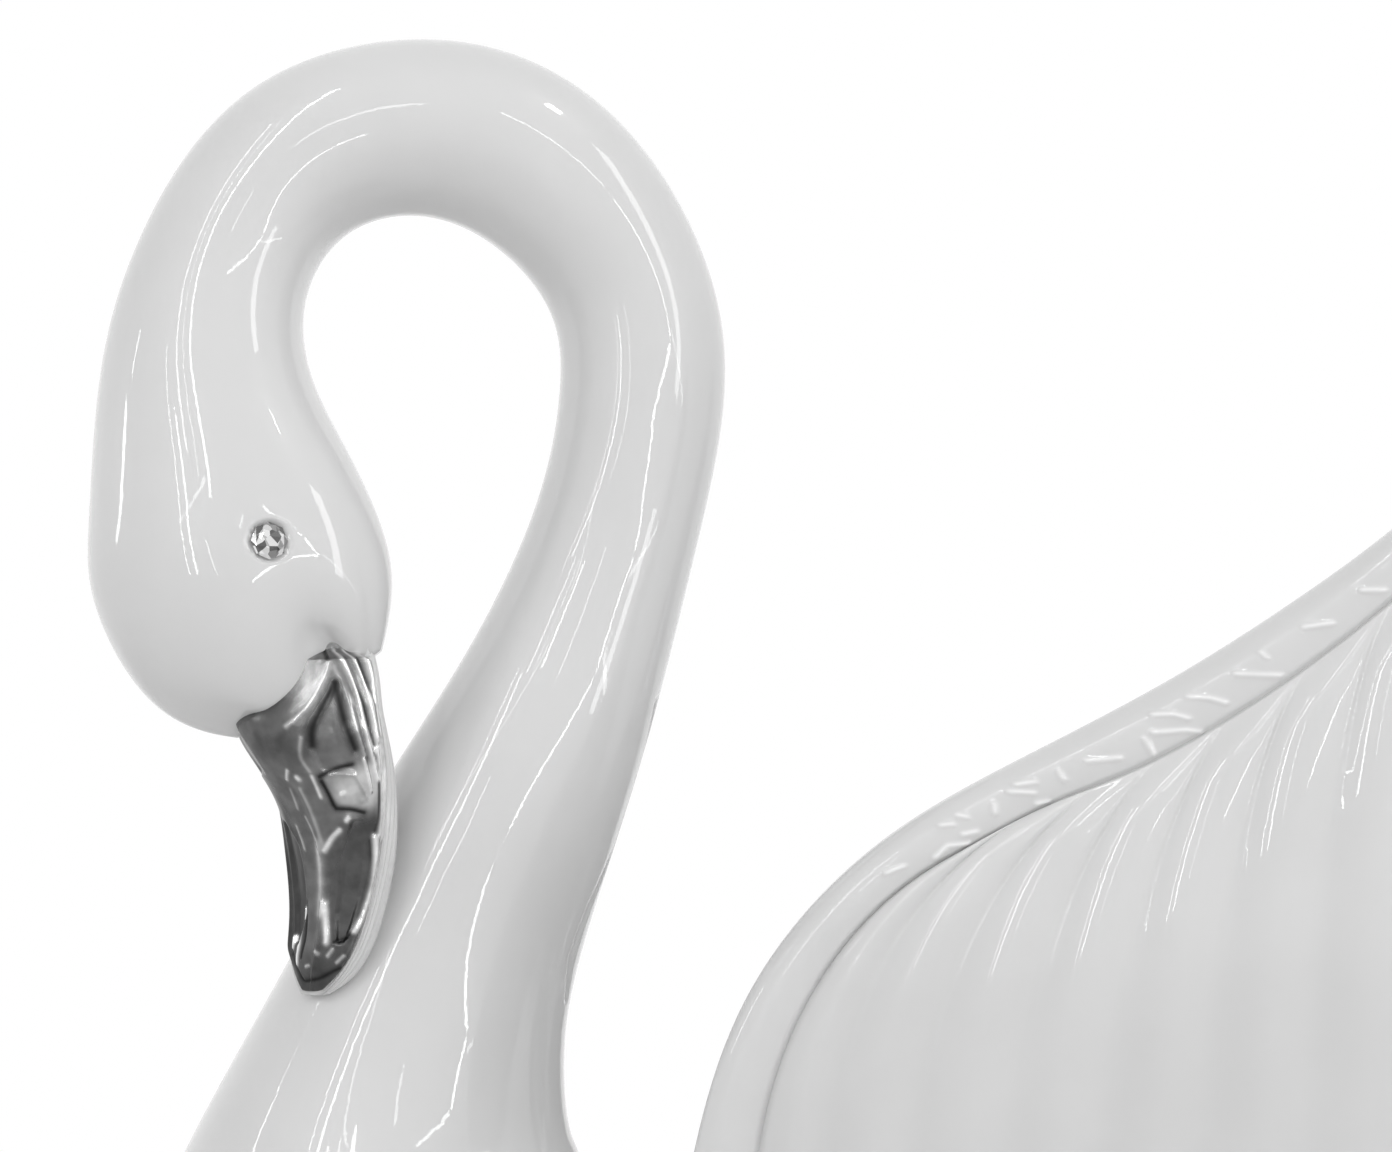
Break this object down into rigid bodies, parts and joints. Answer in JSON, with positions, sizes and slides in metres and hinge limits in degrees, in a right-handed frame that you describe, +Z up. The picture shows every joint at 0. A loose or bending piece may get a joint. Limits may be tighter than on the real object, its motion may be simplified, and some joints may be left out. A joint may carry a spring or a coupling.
{
  "type": "swan figurine",
  "caption": "White glazed porcelain swan figurine with looped neck, raised fluted wings, silver bill cover and clear faceted eye stones",
  "frame": {"origin": "on the flat face that the figurine stands on, below the middle of its length", "axes": "+Z up, the swan faces -X, its left side is towards -Y"},
  "size_m": [0.2368, 0.1194, 0.2212],
  "materials": {
    "white_glaze": "gloss white glaze",
    "silver_plate": "mirror silver",
    "clear_stone": "faceted, foil-backed"
  },
  "bodies": {
    "root": {"porcelain_swan": "white_glaze", "bill_cover": "silver_plate", "left_eye_stone": "clear_stone", "right_eye_stone": "clear_stone"}
  },
  "joints": []
}
